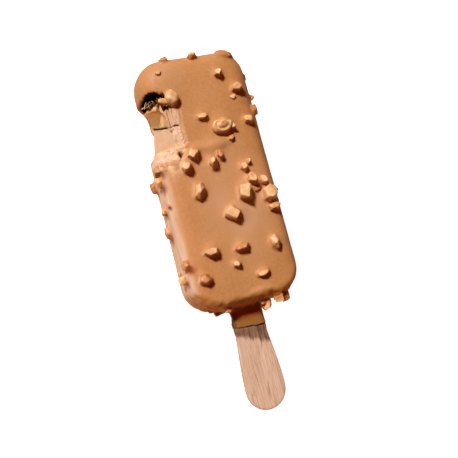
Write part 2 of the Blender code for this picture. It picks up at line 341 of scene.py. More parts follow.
nutLook = {
    "kernel": (0.640, 0.320, 0.120),
    "kernelPale": (0.880, 0.580, 0.310),
    "chocolateAndShade": (0.420, 0.120, 0.018),    # chocolate over the nut, shown most on the sides away from the light: partly painted shade
    "cloudScale": 260.0,
    "poreScale": 900.0,
    "bump": (0.3, 0.0001),
}

nutFinish = {
    "Roughness": 0.42,
    "Specular IOR Level": 0.35,
    "Subsurface Weight": 0.10,
    "Subsurface Radius": (1.0, 0.35, 0.15),
    "Subsurface Scale": 0.0010,
}


def makeNutMaterial():
    graph = startMaterial("nut_bits", nutFinish)
    cloud = noiseNode(graph, graph.place, nutLook["cloudScale"], 5.0, 0.6)
    kernel = rampNode(graph, cloud, ((0.35, nutLook["kernel"]), (0.68, nutLook["kernelPale"])))
    base = mixNode(graph, attributeNode(graph, "bare"), nutLook["chocolateAndShade"], kernel)
    pores = noiseNode(graph, graph.place, nutLook["poreScale"], 4.0, 0.6)
    return finished(graph, base, pores, *nutLook["bump"])


woodLook = {
    "dark": (0.420, 0.250, 0.150),
    "middle": (0.630, 0.410, 0.285),
    "light": (0.735, 0.510, 0.370),
    "line": (0.300, 0.155, 0.080),    # open pores
    # damp wood, and painted shade on the blade's narrow sides
    "dampAndShade": (0.145, 0.064, 0.027),
    "grainScale": 1300.0,
    "grainStretch": (1.0, 0.045, 1.0),
    "grainTurn": 0.04,
    "poreScale": 2300.0,
    "poreStretch": (1.0, 0.05, 1.0),
    "poreShare": (0.60, 0.60, 0.60),
    "bump": (0.4, 0.00015),
}

woodFinish = {
    "Roughness": 0.62,
    "Specular IOR Level": 0.3,
}


def makeWoodMaterial():
    graph = startMaterial("stick_wood", woodFinish)
    along = stretched(graph, graph.place, woodLook["grainStretch"], woodLook["grainTurn"])
    grain = noiseNode(graph, along, woodLook["grainScale"], 7.0, 0.78, 1.3)
    base = rampNode(graph, grain, (
        (0.34, woodLook["dark"]), (0.47, woodLook["middle"]), (0.60, woodLook["light"])))
    fibre = stretched(graph, graph.place, woodLook["poreStretch"])
    pores = noiseNode(graph, fibre, woodLook["poreScale"], 4.0, 0.65, 0.9)
    poreMask = rampNode(graph, pores, ((0.34, woodLook["poreShare"]), (0.44, (0.0, 0.0, 0.0))))
    base = mixNode(graph, poreMask, base, woodLook["line"])
    base = paintLayers(graph, base, woodLook, ("dampAndShade",))
    return finished(graph, base, grain, *woodLook["bump"])


coatingMaterial = makeCoatingMaterial()
creamMaterial = makeCreamMaterial()
nutMaterial = makeNutMaterial()
woodMaterial = makeWoodMaterial()
print("materials made")


def buildSurfaceTree():
    bm = mergedCopy("coating")
    tree = BVHTree.FromBMesh(bm)
    bm.free()
    return tree


surfaceTree = buildSurfaceTree()

# for each side: the way a nut is pressed in, and the start of the ray from its two places
sideAim = {
    "face": (Vector((0, 0, -1)), lambda a, b: Vector((a, b, 60)) * mm),
    "left": (Vector((1, 0, 0)), lambda a, b: Vector((-60, a, b)) * mm),
    "right": (Vector((-1, 0, 0)), lambda a, b: Vector((60, a, b)) * mm),
    "far": (Vector((0, -1, 0)), lambda a, b: Vector((a, 110, b)) * mm),
    "stickEnd": (Vector((0, 1, 0)), lambda a, b: Vector((a, -70, b)) * mm),
}

# side, place a, place b, long, wide, rise, turn, top share, bareness, seed; lengths in mm
shownNuts = [
    ("face", 8.8, 62.4, 3.9, 3.3, 2.9, 20, 0.74, 1.00, 1),
    ("face", 15.0, 55.4, 5.7, 3.9, 2.9, 15, 0.79, 1.00, 2),
    ("face", 12.7, 51.8, 3.1, 2.4, 1.0, 0, 0.84, 0.90, 3),
    ("face", 16.6, 41.4, 4.2, 4.3, 2.4, 60, 0.74, 0.80, 4),
    ("face", -2.5, 45.7, 5.2, 2.7, 1.9, 5, 0.86, 0.90, 5),
    ("face", 8.8, 39.6, 2.8, 3.2, 2.6, 10, 0.70, 0.60, 8),
    ("face", 7.3, 35.2, 3.4, 2.7, 1.9, 30, 0.74, 0.50, 7),
    ("face", 0.8, 29.0, 3.1, 4.6, 2.9, 10, 0.74, 0.30, 9),
    ("face", -3.0, 26.6, 5.5, 3.9, 3.6, 70, 0.40, 0.70, 10),
    ("face", 9.2, 22.8, 3.6, 4.3, 2.9, 10, 0.74, 0.90, 11),
    ("face", 11.8, 24.4, 1.9, 3.1, 2.3, 0, 0.40, 0.80, 12),
    ("face", 11.0, 17.2, 4.4, 5.6, 4.2, 15, 0.80, 0.95, 13),
    ("face", 7.2, 12.6, 7.0, 7.8, 4.6, -12, 0.84, 0.95, 14),
    ("face", 16.2, 15.8, 3.6, 4.6, 3.1, 10, 0.74, 0.90, 15),
    ("face", 17.2, 10.2, 6.6, 7.4, 3.4, -20, 0.84, 0.95, 16),
    ("face", 17.8, 4.6, 6.4, 3.6, 3.0, 12, 0.70, 0.60, 17),
    ("face", -0.2, 5.2, 8.0, 7.0, 3.8, 30, 0.80, 0.95, 18),
    ("face", -9.8, 31.4, 5.7, 5.3, 3.7, 10, 0.74, 0.80, 19),
    ("face", -14.0, 27.0, 5.1, 4.3, 3.6, 30, 0.74, 0.80, 20),
    ("face", -11.4, 16.6, 5.0, 7.8, 3.8, -18, 0.35, 0.80, 21),
    ("face", -12.6, -7.6, 6.3, 3.3, 3.6, -4, 0.86, 0.62, 22),
    ("face", -0.3, -8.4, 6.3, 3.3, 2.8, 12, 0.74, 0.22, 23),
    ("face", -3.9, -14.4, 3.7, 3.3, 2.4, 0, 0.69, 0.90, 24),
    ("face", 14.0, -9.4, 4.2, 7.2, 3.2, 8, 0.35, 0.90, 25),
    ("face", 6.0, -20.2, 6.0, 3.1, 1.9, 10, 0.74, 0.50, 26),
    ("face", -17.6, -17.2, 5.7, 4.4, 3.1, -10, 0.74, 0.20, 27),
    ("face", -15.2, 66.3, 2.9, 2.4, 1.2, 0, 0.74, 0.90, 29),
    ("face", 14.2, 70.6, 8.8, 4.2, 0.9, -16, 0.70, 0.10, 39),
    ("left", 24.2, 16.5, 5.8, 4.0, 2.8, 0, 0.70, 0.95, 30),
    ("left", 24.6, 5.6, 6.4, 4.6, 2.4, 0, 0.70, 0.22, 31),
    ("left", 13.0, 12.4, 3.8, 3.8, 1.9, 0, 0.70, 0.90, 32),
    ("left", 4.8, 10.4, 6.4, 4.0, 2.0, 0, 0.70, 0.30, 33),
    ("left", -10.4, 21.0, 4.6, 4.0, 2.2, 0, 0.70, 0.30, 34),
    ("left", -12.6, 12.0, 2.6, 2.4, 1.4, 0, 0.70, 0.80, 35),
    ("left", -15.2, 17.0, 4.6, 3.8, 2.8, 0, 0.72, 0.95, 36),
    ("left", 28.4, 17.4, 5.0, 6.4, 2.4, 20, 0.70, 0.19, 51),
    ("left", 14.2, 19.0, 2.4, 2.0, 1.0, 0, 0.70, 0.30, 52),
    ("left", 35.0, 6.8, 1.9, 1.7, 0.8, 0, 0.74, 0.50, 37),
    ("right", 45.8, 21.2, 5.7, 3.8, 1.7, 0, 0.74, 0.30, 40),
    ("right", 7.4, 13.0, 5.7, 6.3, 1.8, 0, 0.74, 0.40, 41),
    ("face", 0.9, 71.2, 4.6, 3.6, 2.8, 0, 0.66, 0.60, 42),
    ("face", -11.0, 71.8, 4.6, 3.4, 1.6, 20, 0.80, 0.10, 44),
    ("stickEnd", 11.6, 20.4, 5.4, 4.6, 3.8, 0, 0.80, 0.55, 53),
    ("stickEnd", 6.7, 16.6, 4.8, 6.6, 4.3, 0, 0.80, 1.00, 54),
    ("stickEnd", 15.0, 17.6, 4.6, 4.8, 4.0, 0, 0.75, 0.20, 55),
    ("face", 12.4, 13.4, 4.6, 4.2, 1.5, 20, 0.74, 0.19, 56),
    ("stickEnd", -10.5, 9.0, 5.7, 3.2, 2.0, 0, 0.74, 0.10, 47),
    ("stickEnd", 4.8, 18.8, 2.7, 2.3, 2.0, 0, 0.74, 0.60, 48),
]

hiddenNuts = {
    "seed": 7,
    "apart": 6.5,
    "mostTries": 400,
    "stickRoom": 9,  # no nut this near the stick
    "backRise": 0.4,  # pressed flat under the bar
    "sides": {  # how many, then the span of each place
        "right": (12, (-22, 66), (5, 19)),
        "far": (7, (-16, 16), (4, 10)),
        "stickEnd": (4, (-16, 16), (5, 19)),
        "back": (22, (-16, 16), (-20, 64)),
    },
}


def listHiddenNuts():
    rand = random.Random(hiddenNuts["seed"])
    taken = [(entry[0], entry[1], entry[2]) for entry in shownNuts]
    found = []
    for side, (wanted, spanA, spanB) in hiddenNuts["sides"].items():
        tries = 0
        while wanted and tries < hiddenNuts["mostTries"]:
            tries += 1
            a = rand.uniform(*spanA)
            b = rand.uniform(*spanB)
            if side == "stickEnd" and abs(a) < hiddenNuts["stickRoom"]:
                continue
            near = [spot for spot in taken if spot[0] == side
                    and math.hypot(a - spot[1], b - spot[2]) < hiddenNuts["apart"]]
            if near:
                continue
            taken.append((side, a, b))
            size = rand.uniform(2.6, 5.6)
            if side == "back":
                rise = hiddenNuts["backRise"]
            else:
                rise = rand.uniform(0.8, 1.5 if side == "far" else 2.2)
            found.append((
                side, a, b, size, size * rand.uniform(0.6, 0.95), rise, rand.uniform(0, 180),
                rand.uniform(0.4, 0.75), rand.uniform(0.1, 0.8), 100 + len(found)))
            wanted -= 1
    return found


allNuts = shownNuts + listHiddenNuts()

nutShape = {
    "sunk": 1.0,            # how deep a nut sits in the coating, in mm
    "rounding": 0.08,       # against a half size of 1, as the two below
    "longEdge": 0.35,
    "roughness": 0.10,
    "lean": (-0.12, 0.16),  # how far the nuts on the face lean over for each unit of height
    "highSide": -50.0,
    "seedStep": 7919,
}

# kernels with a shape of their own: x, y, long, wide, rise, turn, hollowed top, bareness, seed
ringedKernel = (4.9, 40.1, 9.0, 6.2, 4.3, 8, 0.15, 0.80, 6)
curledKernel = (-12.5, 54.9, 5.0, 6.2, 3.4, 24, 0.0, 1.0, 28)
curlFlange = (-15.9, 54.4, 4.8, 2.3, 1.0, -14, 0.0, 0.75, 29)


def leaning():
    lean = Matrix.Identity(4)
    lean[0][2], lean[1][2] = nutShape["lean"]
    return lean


def nutChunk(entry, height, grow=1.0):
    # a chopped kernel: a wide ring of corners, a smaller leaning ring on top, one hull round both
    side, _, _, longSize, wideSize, _, turn, topShare, _, seed = entry
    rand = random.Random(seed * nutShape["seedStep"] + 3)
    bm = bmesh.new()
    corners = rand.choice((4, 5, 5, 6))
    start = rand.uniform(0, 2 * math.pi)
    leanAngle = rand.uniform(0, 2 * math.pi)
    leanTilt = rand.uniform(0.10, 0.34)
    if side == "face":
        leanAngle = math.radians(nutShape["highSide"] - turn) + rand.uniform(-0.8, 0.8)
    for level, share in ((-1.0, 0.98), (0.0, 1.0), (0.85, topShare)):
        for index in range(corners):
            angle = start + 2 * math.pi * (index + rand.uniform(-0.25, 0.25)) / corners
            reach = share * rand.uniform(0.86, 1.06)
            z = level
            if level > 0:
                z += leanTilt * math.cos(angle - leanAngle)
            bm.verts.new((reach * math.cos(angle), reach * math.sin(angle), z))
    hull = bmesh.ops.convex_hull(bm, input=bm.verts)
    loose = {item for item in hull["geom_interior"] + hull["geom_unused"]
             if isinstance(item, bmesh.types.BMVert)}
    bmesh.ops.delete(bm, geom=list(loose), context="VERTS")
    bmesh.ops.dissolve_limit(bm, angle_limit=0.20, verts=bm.verts, edges=bm.edges)
    bmesh.ops.bevel(
        bm, geom=list(bm.edges), offset=nutShape["rounding"], offset_type="OFFSET", segments=2,
        profile=0.5, affect="EDGES", clamp_overlap=True, material=-1)
    bmesh.ops.remove_doubles(bm, verts=bm.verts, dist=1e-4)
    bmesh.ops.triangulate(bm, faces=bm.faces)
    longEdges = [edge for edge in bm.edges if edge.calc_length() > nutShape["longEdge"]]
    bmesh.ops.subdivide_edges(bm, edges=longEdges, cuts=2, use_grid_fill=True)
    bmesh.ops.triangulate(bm, faces=bm.faces)
    bm.normal_update()
    for vert in bm.verts:
        rough = noise.noise(vert.co * 2.6 + Vector((seed, 0, 0)))
        vert.co += vert.normal * nutShape["roughness"] * rough
    bmesh.ops.scale(
        bm, verts=bm.verts, vec=(longSize * grow * mm / 2, wideSize * grow * mm / 2, height / 2))
    return bm


def nutPlace(entry):
    # the turn and place of one nut, and its whole height, in metres
    side, a, b, longSize, wideSize, rise, turn = entry[:7]
    height = (rise + nutShape["sunk"]) * mm
    if side == "back":
        spot, normal = Vector((a, b, 0.0)) * mm, Vector((0, 0, -1))
    else:
        aim, start = sideAim[side]
        spot, normal, _, _ = surfaceTree.ray_cast(start(a, b), aim)
        if spot is None:
            return None, height
        normal = (normal.normalized() * 0.5 - aim * 0.5).normalized()
    centre = spot + normal * (rise * mm - height / 2)
    if side == "back":
        centre.z = max(centre.z, height / 2 + 0.1 * mm)
    reference = Vector((1, 0, 0)) if abs(normal.x) < 0.8 else Vector((0, 1, 0))
    across = (reference - normal * reference.dot(normal)).normalized()
    axes = Matrix((across, normal.cross(across), normal)).transposed().to_4x4()
    place = Matrix.Translation(centre) @ axes
    if side == "face":
        place = place @ leaning()
    return place @ Matrix.Rotation(math.radians(turn), 4, "Z"), height


nutPlaces = [(entry, *nutPlace(entry)) for entry in allNuts]
nutPlaces = [found for found in nutPlaces if found[1] is not None]


def roundKernel(spec, grow=1.0):
    # a whole half kernel: a rounded lump, hollowed on top if it is the ringed one
    x, y, longSize, wideSize, rise, turn, hollowTop, _, seed = spec
    bm = bmesh.new()
    bmesh.ops.create_icosphere(bm, subdivisions=4, radius=1.0)
    for vert in bm.verts:
        away = math.hypot(vert.co.x, vert.co.y)
        if vert.co.z > 0:
            vert.co.z = vert.co.z ** 0.4  # steeper sides and a flatter top
            vert.co.z -= hollowTop * ease(away, 0.36, 0.52) * (1 - ease(away, 0.60, 0.78))
        dent = noise.noise(vert.co * 1.9 + Vector((seed, 0, 0)))
        vert.co *= 1 + 0.10 * dent
    bmesh.ops.scale(bm, verts=bm.verts, vec=(longSize * grow / 2, wideSize * grow / 2, rise))
    bmesh.ops.rotate(bm, verts=bm.verts, matrix=Matrix.Rotation(math.radians(turn), 3, "Z"))
    bmesh.ops.transform(bm, matrix=leaning(), verts=bm.verts)
    bmesh.ops.translate(bm, verts=bm.verts, vec=(x, y, barTopZ + 0.2))
    bmesh.ops.scale(bm, verts=bm.verts, vec=(mm, mm, mm))
    return bm


lightFacingSide = Vector((-0.60, 0.75, 0.28))  # painted light: a nut's sides facing this way, towards the key light, are painted paler


def makeNuts():
    bm = bmesh.new()
    bm.verts.layers.float.new("bare")
    for entry, place, height in nutPlaces:
        rise, _, _, bare, seed = entry[5:]
        chunk = nutChunk(entry, height)
        top = height / 2
        layer = chunk.verts.layers.float.new("bare")
        chunk.normal_update()
        turned = place.to_3x3()
        for vert in chunk.verts:
            level = ease(vert.co.z, top - rise * mm * 0.8, top - rise * mm * 0.1)
            patch = 0.5 + 0.9 * noise.noise(vert.co / 0.0013 + Vector((seed, 0, 0)))
            # painted light: the sides facing the light show more pale kernel
            towardLight = (turned @ vert.normal).dot(lightFacingSide)
            vert[layer] = clamp(bare * (0.15 + 0.70 * level + 0.40 * patch + 0.45 * towardLight))
        bmesh.ops.transform(chunk, matrix=place, verts=chunk.verts)
        addMesh(bm, chunk)
    for spec in (ringedKernel, curledKernel, curlFlange):
        rise, _, _, bare, _ = spec[4:]
        kernel = roundKernel(spec)
        kernel.normal_update()
        layer = kernel.verts.layers.float.new("bare")
        for vert in kernel.verts:
            level = ease(vert.co.z / mm, barTopZ + 0.6, barTopZ + rise * 0.9)
            patch = 0.5 + 0.8 * noise.noise(vert.co / 0.0018)
            # painted light: the sides facing the light show more pale kernel
            towardLight = vert.normal.dot(lightFacingSide)
            vert[layer] = clamp(bare * (0.15 + 0.60 * level + 0.4 * patch + 0.45 * towardLight))
        addMesh(bm, kernel)
    print("nut triangles:", countTriangles(bm))
    newPiece("nut_bits", bm, nutMaterial)


makeNuts()
print("nuts made:", len(nutPlaces))


bite = {
    "voxel": 0.46,
    "keep": 0.28,            # share of faces kept where the coating hides the ice cream
    "grow": 0.24,            # closes the gap to the coating at the bite
    "ledgeOnFace": 44.5,     # y of the crack between the two tooth marks, in mm
    "ledgeOnBack": 50.4,
    "ledgeOverhang": 0.55,
    "ledgeWaviness": 0.60,
    "crackDepth": 1.1,
    "crackWidth": 0.34,
    "shelfCrackDepth": 1.1,
    "wallOnFace": -14.5,     # x of the bitten wall beside the crack
    "wallOnBack": -16.9,
    "upperSlopeOnFace": -0.18,
    "upperSlopeOnBack": -0.26,
    "lowerSlopeOnFace": 0.07,
    "lowerSlopeOnBack": 0.25,
    "rimX": -11.2,           # where the broken coating meets the face
    "flush": 1.62,           # how far the rim is filled towards the coating's face
    "mostFlush": 1.78,
    "underCoating": 1.20,    # and how far at most beyond the rim
    "lipFill": 1.84,         # how far the lower lip is filled out
    "hole": (-13.9, 31.9),
    "holeSize": (0.80, 1.55),
    "holeRimSize": (1.5, 2.5),
    "holeDepth": 2.4,
    "ridge": (-13.0, 35.3),
    "ridgeHeight": 0.5,
    "foldOnFace": 36.6,      # y of the tan fold at the foot of the lower tooth mark
    "foldOnBack": 38.2,
    "foldBend": 0.10,
    "caveCentre": (-16.6, 58.4, 13.5),
    "caveSize": (5.8, 4.0, 8.0),
    "pocketOnFace": 51.9,    # y of the torn edge under the pocket
    "pocketOnBack": 60.7,
    "pocketTorn": 2.6,
    "pocketDepth": 1.2,
    "spikeX": -16.2,         # a dark spike of painted shade that runs down from the pocket
    "spikeLength": 1.6,
    "sunlitTo": (52.0, 54.5),  # past this line over the face the lip shades the upper mark
}


shell = {
    "voxel": 0.46,
    "coarse": 1.3,           # how much coarser the first remesh is
    "keep": 0.60,            # share of faces kept when the hidden inner wall is thinned
    "bodySmoothing": 30,
    "skirtShare": 0.36,      # how far up a nut the chocolate climbs
    "skirtGrow": 1.05,
    "kernelSkirt": 0.18,     # the same for the round kernels
    "waveHeight": 0.16,
    "waveSize": 12.0,
    "rippleHeight": 0.04,
    "rippleSize": 3.5,
    "endLumpHeight": 0.75,   # lumps at the stick end
    "endLumpSize": 2.4,
    "collarPressed": 0.38,
    "collarEndLeft": -39.7,  # y of the collar's lower edge at the stick's two sides
    "collarEndRight": -40.4,
    "lowest": 0.35,          # no part of the moved coating hangs lower than this
    "creaseShade": 0.10,          # how much painted shade darkens the chocolate round a nut
    "rimJag": 0.45,          # how uneven the broken edge on the face is
    "lipRaised": 1.1,        # how far the lip over the pocket is drawn back, and how unevenly
    "lipTorn": 0.9,
    "lipPaintFrom": (10.5, 12.5),
}

# the piece of shoulder that broke away over the pocket, sunk in and painted black as shade: spans across,
# up and along, in mm
tear = {
    "across": (-23.2, -22.5, -18.0, -16.5),
    "height": (17.0, 18.6),
    "from": (52.0, 54.0),
    "to": 58.2,
    "fade": 0.7,
    "jag": 0.5,
    "depth": 0.9,
    "brownReach": 1.6,       # the painted brown shade round it is this much wider
}

# low soft shapes in the face: x, y, half length, half width, turn, height, in mm
faceSwells = [
    (0.4, 33.4, 6.0, 1.9, 8, 0.55),
    (-6.0, 34.2, 3.5, 1.8, 0, 0.35),
    (-12.8, 35.4, 2.2, 0.8, 8, 0.7),
    (14.5, 71.0, 5.0, 2.6, 0, 1.1),
    (3.0, -27.0, 5.0, 1.6, 6, 0.5),
]


def acrossStick(atLeft, atRight, x):
    # a level that runs slantwise over the stick, whose sides are at -7 and 6 here
    return blend(atLeft, atRight, (x + 7) / 13)


def addSkirts(bm):
    # the chocolate that climbs up each nut
    for entry, place, height in nutPlaces:
        side = entry[0]
        rise, _, _, bare, _ = entry[5:]
        if side == "back":
            continue
        chunk = nutChunk(entry, height * 1.04, shell["skirtGrow"])
        fullyCoated = bare < 0.18
        share = 1.1 if fullyCoated else shell["skirtShare"] - 0.3 * bare
        level = height / 2 - rise * mm * (1 - share)
        for vert in chunk.verts:
            vert.co.z = min(vert.co.z, level)
        bmesh.ops.transform(chunk, matrix=place, verts=chunk.verts)
        addMesh(bm, chunk)
    for spec in (ringedKernel, curledKernel):
        kernel = roundKernel(spec, shell["skirtGrow"])
        rise = spec[4]
        for vert in kernel.verts:
            vert.co.z = min(vert.co.z, (barTopZ + rise * shell["kernelSkirt"]) * mm)
        addMesh(bm, kernel)


def insideShell(point):
    # true on the wall round the hollow, which only shows at the bite
    nearBite = point.x < -8 and 25 < point.y < 63
    if point.y < barBottomY or nearBite:
        return False
    _, normal, _, _ = surfaceTree.find_nearest(point * mm)
    spine = Vector((clamp(point.x, -10, 10), clamp(point.y, barBottomY + 12, barTopY - 12), barTopZ / 2))
    return normal.dot(point - spine) < 0


def onPlainBody(point):
    return point.y > -28.0 and not (point.x < -7 and 24 < point.y < 64)


def swellHeight(point):
    height = 0.0
    for x, y, halfLong, halfWide, turn, rise in faceSwells:
        angle = math.radians(turn)
        dx = point.x - x
        dy = point.y - y
        u = (dx * math.cos(angle) + dy * math.sin(angle)) / halfLong
        v = (dy * math.cos(angle) - dx * math.sin(angle)) / halfWide
        height += rise * math.exp(-(u * u + v * v) ** 1.5)
    return height


def tornCorner(point, reach=0.0):
    edge = tear["to"] + reach + tear["jag"] * wobble(point.x / 0.8, 3.0, point.z / 1.4)
    share = between(point.x, *tear["across"]) * ease(point.z, *tear["height"])
    return share * between(point.y, *tear["from"], edge, edge + tear["fade"] + 0.5 * reach)


def shellWave(point):
    return noise.noise(point / shell["waveSize"] + Vector((3.1, 0, 0)))


def atStickEnd(point):
    return between(-point.y, 26.0, 29.0, 32.0, 34.5)


def onCollar(point):
    return ease(-point.y, 31.5, 33.5)


def brokenEdge(point):
    # the edge on the face, beside the bite
    share = bell(point.x - bite["rimX"], 0.9) * between(point.y, 35, 37, 54, 56)
    return share * ease(point.z, 21.0, 23.0)


def shellMove(point, normal):
    # how far a point of the coating's outside moves, in mm
    shift = shell["waveHeight"] * shellWave(point)
    shift += shell["rippleHeight"] * noise.noise(point / shell["rippleSize"])
    lump = noise.noise(point / shell["endLumpSize"] + Vector((0, 0, 5)))
    shift += shell["endLumpHeight"] * (lump + 0.15) * atStickEnd(point)
    if point.z > 15 and normal.z > 0.3:
        shift += swellHeight(point) * ease(normal.z, 0.3, 0.8)
    shift -= shell["collarPressed"] * onCollar(point)
    return normal * shift


def tearMove(point, normal):
    # how far the broken edges move, in mm: on the face, over the pocket and at the torn corner
    move = -normal * tear["depth"] * tornCorner(point)
    jag = wobble(0, point.y / 0.9, 2.0) + 0.5 * wobble(5.0, point.y / 0.4, 0)
    move.x += shell["rimJag"] * jag * brokenEdge(point)
    atLip = between(point.y, 49.5, 51.0, 55.5, 62.5) * ease(-point.x, 11.5, 14.0) * ease(point.z, 6, 10)
    torn = wobble(point.x / 0.9, 7.0, point.z / 1.6)
    raised = shell["lipRaised"] * bell(point.x + 19.6, 2.8) + shell["lipTorn"] * torn
    move.y += raised * atLip
    return move


def collarLine(point):
    # the pale line where the collar ends, fainter on the right
    end = acrossStick(shell["collarEndLeft"], shell["collarEndRight"], point.x)
    return onCollar(point) * bell(point.y - end - 0.15, 0.32) * (1 - 0.7 * ease(point.x, 1, 5))


def shellWeights(point, normal):
    # how strongly each colour of the coating shows
    collar = onCollar(point)
    # the stick end is darker, partly darker chocolate and partly painted shade, most of all in its dips,
    # and keeps a golden rim where it faces away from the light
    sunk = ease(wobble(point.x / 4.0, point.y / 3.0, point.z / 3.0), -0.25, 0.15)
    belowRim = atStickEnd(point) * (1 - collar) * ease(-normal.z, -0.95, -0.60)
    golden = ease(-normal.y, 0.05, 0.45) * ease(-point.y, 15, 24) * (1 - collar)
    golden *= 0.90 + 0.9 * noise.noise(point / 2.4)
    low = 0.50 + 0.50 * ease(point.z, 5, 14)
    leftRidge = bell(point.x + 18.5, 3.5) * ease(point.z, 17, 21)
    # painted shade: the lip over the pocket is darkened on its torn side and underneath
    onLip = between(point.y, 50.5, 53.0, 61, 63) * ease(-point.x, 9.5, 12.0)
    onLip *= ease(point.x, -22.2, -20.6) * ease(point.z, *shell["lipPaintFrom"])
    lipWall = onLip * ease(-normal.y, 0.10, 0.45) * ease(-point.z, -23.7, -22.6)
    inward = max(ease(normal.x, -0.35, 0.1), ease(-normal.y, 0.5, 0.9))
    underLip = onLip * inward * ease(-point.z, -22.9, -21.9)
    # ice cream smeared on the lower lip, and crumbs of it along the broken edge
    rim = bell(point.y - 30.0, 4.6) * bell(point.x + 19.5, 5.6) * ease(point.z, 4, 12)
    smear = rim * (0.8 + 0.7 * noise.noise(point / 1.4))
    crumbs = 0.7 * brokenEdge(point) * clamp(0.4 + 1.4 * noise.noise(point / 0.7))
    # paler patches on the face, partly bloom and partly painted highlight, and the streaky left wall,
    # partly frost and partly painted sheen
    pale = math.exp(-(((point.x - 3) / 13) ** 2 + ((point.y - 8) / 20) ** 2))
    pale += 0.6 * math.exp(-(((point.x + 15) / 9) ** 2 + ((point.y - 68) / 8) ** 2))
    streaked = 0.80 + 0.5 * wobble(0, point.y / 9.0, point.z / 2.2)
    # painted shade: the collar's top under the bar and the stick end's dips are darkened
    shade = collar * (0.80 - 0.80 * ease(-point.y, 34.0, 37.5)) + 0.52 * low * belowRim * sunk
    return {
        "film": 0.8 * collarLine(point) + smear + crumbs,
        # painted highlight: the face's upward parts are paler in two broad patches
        "bloomAndHighlight": pale * ease(normal.z, 0.1, 0.95) * (0.85 + 0.5 * shellWave(point)),
        # painted sheen: the wall facing -x is paler and streaked, partly as frost
        "frostAndSheen": 0.85 * ease(-normal.x, 0.50, 0.98) * ease(-point.y, -48, -40) * streaked,
        "brownAndShade": collar + 0.95 * low * (belowRim + golden),
        "deep": max(shade + 0.10 * golden + 0.13 * leftRidge, 1.3 * lipWall),
        # painted black shade under the lip and on the collar's left edge and top
        "hollow": max(
            underLip, 0.75 * collar * ease(-point.x, 5.2, 7.0), 0.28 * collar * ease(-point.y, 33.5, 36.5)),
    }


def addWeight(vert, layer, weight):
    vert[layer] = max(vert[layer], weight)


def paintNutShade(bm, layers):
    # painted shade: the chocolate is darkened round each nut, and a painted shadow lies under and beside
    # each nut on the left wall
    tree = KDTree(len(bm.verts))
    for index, vert in enumerate(bm.verts):
        tree.insert(vert.co, index)
    tree.balance()
    bm.verts.ensure_lookup_table()
    for entry, place, _ in nutPlaces:
        side, _, _, longSize, wideSize = entry[:5]
        if side == "back":
            continue
        inverse = place.inverted()
        for _, index, _ in tree.find_range(place.translation, (max(longSize, wideSize) * 0.8 + 1.5) * mm):
            vert = bm.verts[index]
            local = inverse @ vert.co / mm
            reach = math.hypot(local.x / longSize, local.y / wideSize) * 2
            addWeight(vert, layers["deep"], shell["creaseShade"] * (1 - ease(reach, 1.0, 1.4)))
            if side == "left":
                below = math.hypot(local.x + 0.50 * longSize, local.y + 0.30 * wideSize)
                addWeight(vert, layers["deep"], 0.8 * bell(below, 0.40 * longSize))
                addWeight(vert, layers["hollow"], 0.6 * bell(below, 0.32 * longSize))


def paintLip(bm, layers):
    # painted shade: the chocolate's torn edge over the pocket is darkened for a little way up, unevenly
    cut = [vert for vert in bm.verts if vert.normal.y < -0.4 and 50 < vert.co.y / mm < 62
           and -25 < vert.co.x / mm < -13 and 6 < vert.co.z / mm < 23.3]
    tree = KDTree(len(cut))
    for index, vert in enumerate(cut):
        tree.insert(vert.co, index)
    tree.balance()
    for vert in bm.verts:
        point = vert.co / mm
        if point.x > -12 or not 50 < point.y < 63 or point.z < 6:
            continue
        away = tree.find(vert.co)[2] / mm
        reach = 0.45 + 1.0 * wobble(point.x / 0.9, 0, point.z / 1.3)
        blackReach = 0.4 * reach
        inner = ease(point.x, -21.9, -20.4) * ease(point.z, *shell["lipPaintFrom"])
        addWeight(vert, layers["brownAndShade"], (0.25 + 0.65 * inner) * (1 - ease(away, reach, reach + 0.4)))
        addWeight(vert, layers["brownAndShade"], 0.55 * inner * (1 - ease(away, 0.6, 2.6)))
        # painted shade in and round the broken-away corner
        addWeight(vert, layers["brownAndShade"], 0.55 * tornCorner(point, tear["brownReach"]))
        black = 0.9 * inner * (1 - ease(away, blackReach - 0.2, blackReach + 0.2))
        addWeight(vert, layers["hollow"], black)
        addWeight(vert, layers["hollow"], 0.97 * tornCorner(point))


def makeCoating():
    bm = remeshed(mergedCopy("coating"), shell["voxel"] * shell["coarse"])
    bm = throughModifier(
        bm, "SMOOTH", onPlainBody, factor=0.5, iterations=shell["bodySmoothing"],
        vertex_group="chosen")
    addSkirts(bm)
    bm = remeshed(bm, shell["voxel"])
    print("coating remeshed:", len(bm.verts))
    smoothed(bm, 2)
    bm = thinned(bm, insideShell, shell["keep"])
    bm.normal_update()
    layers = floatLayers(bm, "film", "bloomAndHighlight", "frostAndSheen", "brownAndShade", "deep", "hollow")
    for vert in bm.verts:
        point = vert.co / mm
        if insideShell(point):
            continue
        normal = vert.normal.copy()
        moved = point + shellMove(point, normal) + tearMove(point, normal)
        moved.z = max(moved.z, shell["lowest"])
        vert.co = moved * mm
        setWeights(vert, layers, shellWeights(point, normal))
    paintNutShade(bm, layers)
    paintLip(bm, layers)
    print("coating triangles:", countTriangles(bm))
    newPiece("coating_shell", bm, coatingMaterial, ("coating",))


makeCoating()
print("coating made")


def inBite(point):
    return point.x < -8.5 and 27.0 < point.y < 63.0


def onShelf(point):
    return -19.5 < point.x < -9.5 and 28.0 < point.y < 58.0 and point.z > 18.5


def acrossBite(name, z):
    # the bite's lines run up the bar towards the back
    return blend(bite[name + "OnBack"], bite[name + "OnFace"], clamp(z / 22))


